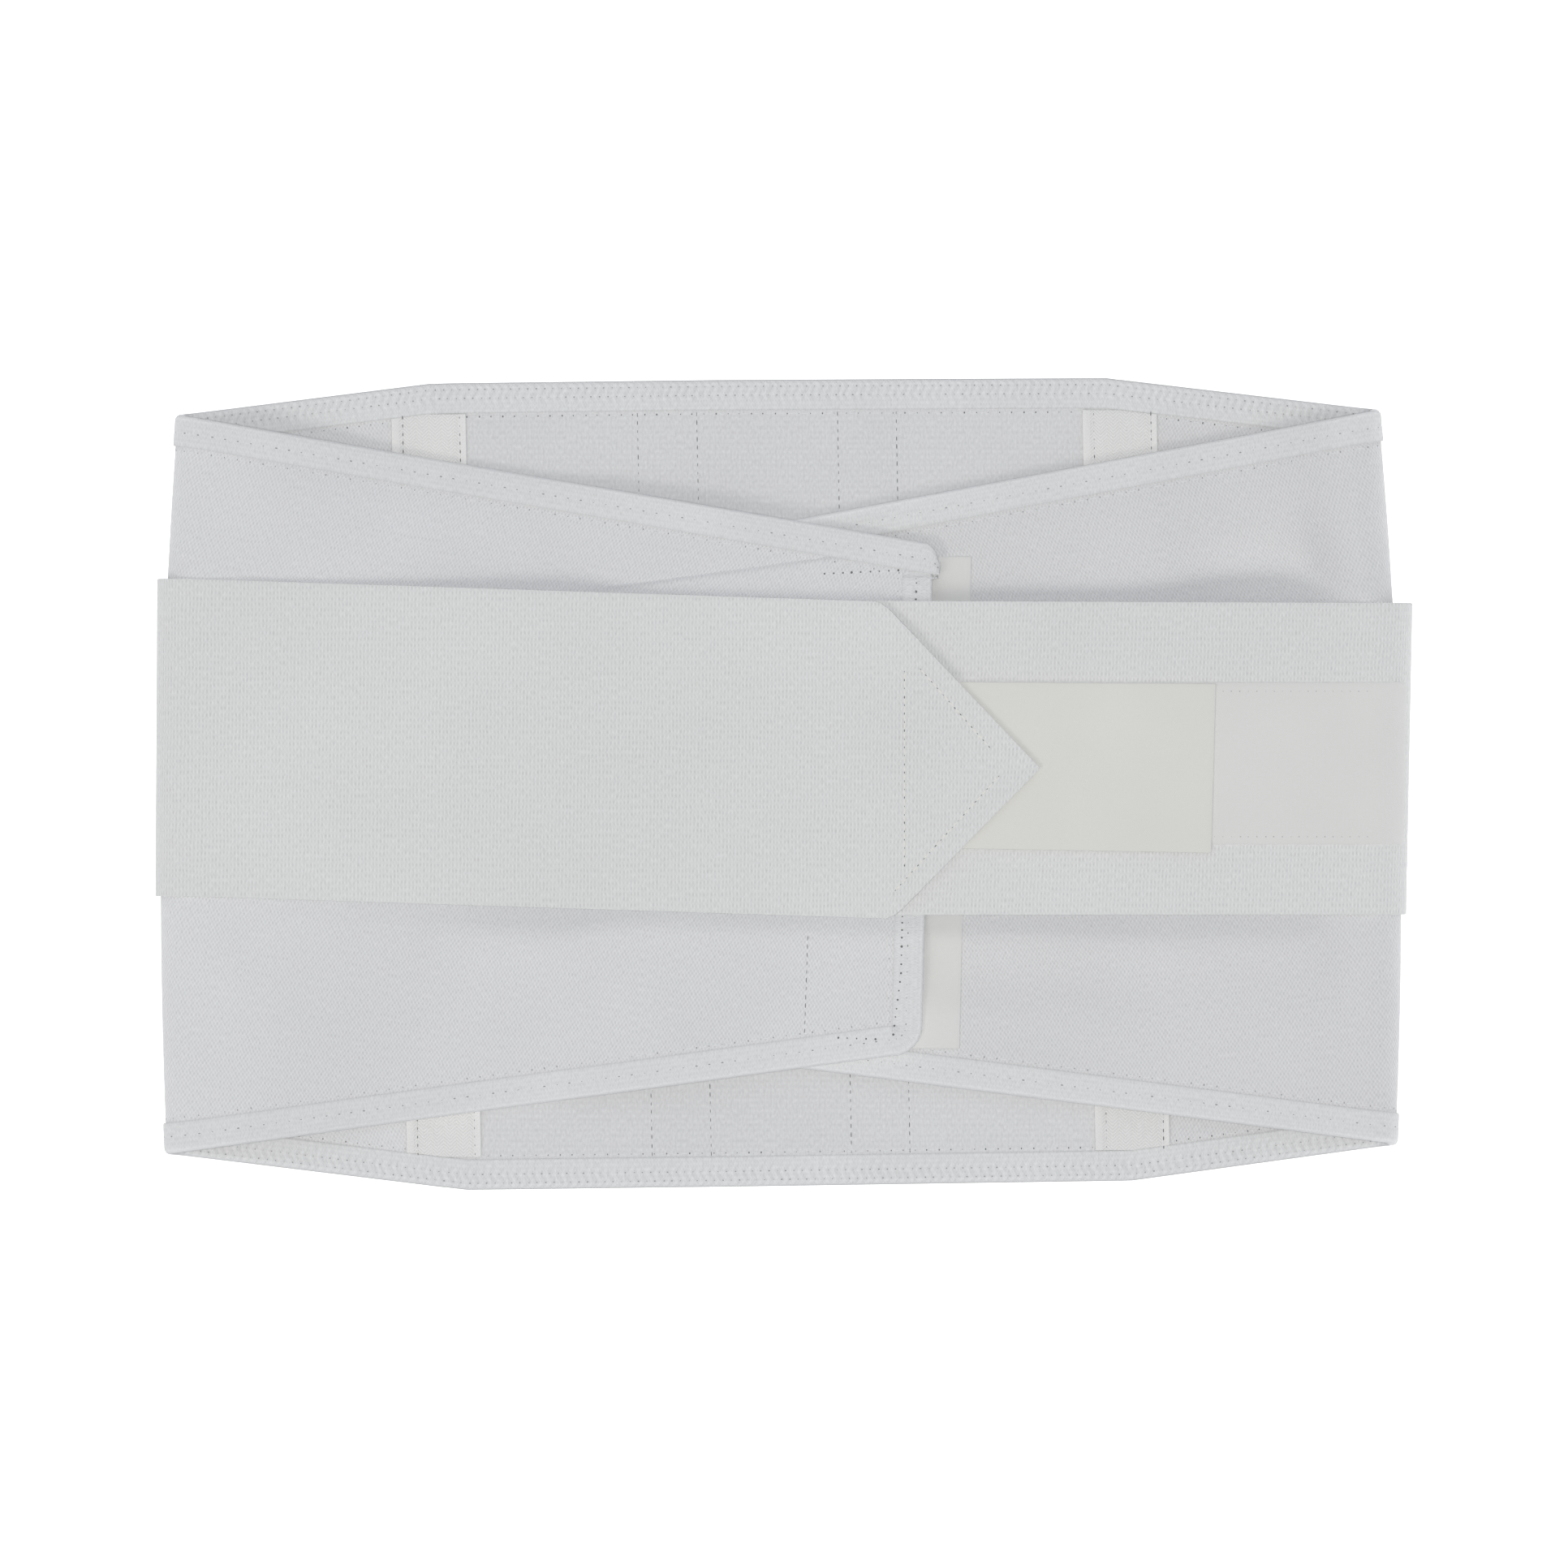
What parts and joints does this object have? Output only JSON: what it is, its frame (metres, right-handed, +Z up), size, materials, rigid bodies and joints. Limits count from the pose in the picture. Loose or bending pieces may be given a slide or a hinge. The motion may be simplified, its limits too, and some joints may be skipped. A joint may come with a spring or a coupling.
{
  "type": "back support belt",
  "caption": "Pale lumbar support belt closed into a flat loop: stitched back panel, crossing bound wings and wide elastic straps held by hook-and-loop tape.",
  "frame": {"origin": "on the table, under the middle of the belt's outline", "axes": "+X to the right along the belt as seen from its front, +Y towards the top edge as worn, +Z up from the back panel to the front"},
  "size_m": [0.3872, 0.2504, 0.0277],
  "materials": {
    "wing_cloth": "brushed knit, matt",
    "back_cloth": "fine ribbed weave, matt",
    "binding_tape": "knitted elastic tape, matt",
    "strap_elastic": "ribbed woven elastic, matt",
    "cream_tape": "herringbone tape with a slight sheen",
    "hook_and_loop": "close smooth pile, matt"
  },
  "bodies": {
    "root": {"back_panel": "back_cloth", "wing_left": "wing_cloth", "wing_right": "wing_cloth", "binding_top": "binding_tape", "binding_bottom": "binding_tape", "stay_tape_left": "cream_tape", "stay_tape_right": "cream_tape", "strap_left": "strap_elastic", "strap_right": "strap_elastic", "hook_tab": "hook_and_loop", "loop_patch": "hook_and_loop", "wing_hook_strip": "hook_and_loop"}
  },
  "joints": []
}
